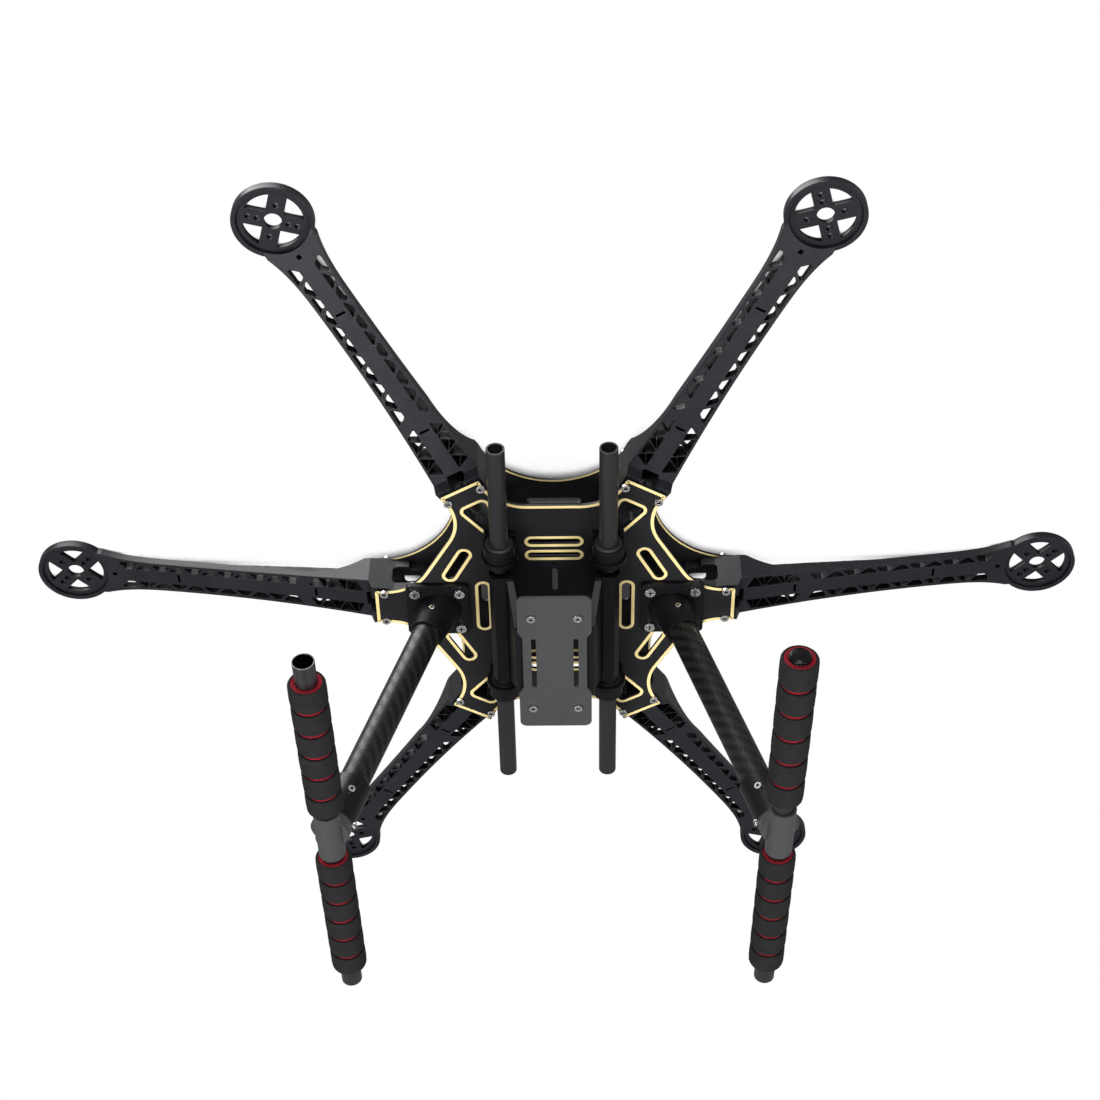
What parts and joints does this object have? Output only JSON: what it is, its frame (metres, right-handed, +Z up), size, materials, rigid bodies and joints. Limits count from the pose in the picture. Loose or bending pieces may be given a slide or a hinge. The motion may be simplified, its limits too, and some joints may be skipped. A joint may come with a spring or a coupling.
{
  "type": "hexacopter drone frame",
  "caption": "Multirotor airframe: two board plates clamp radial moulded arms with motor discs; splayed skid legs with foam sleeves and a battery tray slung on sliding rails.",
  "frame": {"origin": "on the ground under the hub axis, at the bottom centre of the bounding box", "axes": "+Z up along the hub axis, -Y towards the nose along the rails and skids, +X to the right along the two side arms"},
  "size_m": [0.592, 0.5182, 0.2068],
  "materials": {
    "nylon_black": "dark grey-black moulded nylon, satin",
    "board_black": "matt black circuit board with pale gold edge lines",
    "tray_grey": "matt dark grey board",
    "moulded_black": "black moulded plastic, satin",
    "carbon_tube": "wrapped carbon fibre, satin lacquer",
    "tube_grey": "grey satin aluminium",
    "rail_grey": "dark grey satin aluminium",
    "screw_steel": "bright steel",
    "foam_black": "charcoal closed-cell foam",
    "foam_red": "red closed-cell foam",
    "rubber_black": "black rubber"
  },
  "bodies": {
    "frame": {"arm_front_left": "nylon_black", "arm_front_right": "nylon_black", "arm_left": "nylon_black", "arm_rear_left": "nylon_black", "arm_rear_right": "nylon_black", "arm_right": "nylon_black", "arm_screws_lower": "screw_steel", "arm_screws_upper": "screw_steel", "hanger_front_left": "moulded_black", "hanger_front_right": "moulded_black", "hanger_rear_left": "moulded_black", "hanger_rear_right": "moulded_black", "hanger_rubber_front_left": "rubber_black", "hanger_rubber_front_right": "rubber_black", "hanger_rubber_rear_left": "rubber_black", "hanger_rubber_rear_right": "rubber_black", "hanger_screws": "screw_steel", "leg_socket_left": "moulded_black", "leg_socket_right": "moulded_black", "lower_plate": "board_black", "socket_nuts": "screw_steel", "socket_screws": "screw_steel", "socket_set_screws": "screw_steel", "upper_plate": "board_black"},
    "leg_left": {"leg_tube_left": "carbon_tube", "tee_left": "tube_grey", "tee_screws_left": "screw_steel", "skid_tube_left": "tube_grey", "foam_core_front_left": "foam_red", "foam_core_rear_left": "foam_red", "foam_bands_front_left": "foam_black", "foam_bands_rear_left": "foam_black"},
    "leg_right": {"leg_tube_right": "carbon_tube", "tee_right": "tube_grey", "tee_screws_right": "screw_steel", "skid_tube_right": "tube_grey", "foam_core_front_right": "foam_red", "foam_core_rear_right": "foam_red", "foam_bands_front_right": "foam_black", "foam_bands_rear_right": "foam_black", "skid_end_cap": "rubber_black"},
    "rail_left": {"rail_left": "rail_grey"},
    "rail_right": {"rail_right": "rail_grey"},
    "tray": {"tray_bracket_left": "moulded_black", "tray_bracket_right": "moulded_black", "hanging_plate": "tray_grey", "tray_screws": "screw_steel", "tray_nuts": "screw_steel"}
  },
  "joints": [
    {"name": "rail_slide_left", "type": "slide", "parent": "frame", "child": "rail_left", "axis": [0, -1, 0], "range_m": [-0.06, 0.06]},
    {"name": "rail_slide_right", "type": "slide", "parent": "frame", "child": "rail_right", "axis": [0, -1, 0], "range_m": [-0.06, 0.06]},
    {"name": "tray_slide", "type": "slide", "parent": "frame", "child": "tray", "axis": [0, -1, 0], "range_m": [-0.005, 0.005]},
    {"name": "leg_swivel_left", "type": "hinge", "parent": "frame", "child": "leg_left", "pos_m": [-0.11424, 0, 0.00986], "axis": [0.2932, 0, 0.956], "range_deg": [-8, 8]},
    {"name": "leg_swivel_right", "type": "hinge", "parent": "frame", "child": "leg_right", "pos_m": [0.11424, 0, 0.00986], "axis": [-0.2932, 0, 0.956], "range_deg": [-8, 8]}
  ]
}
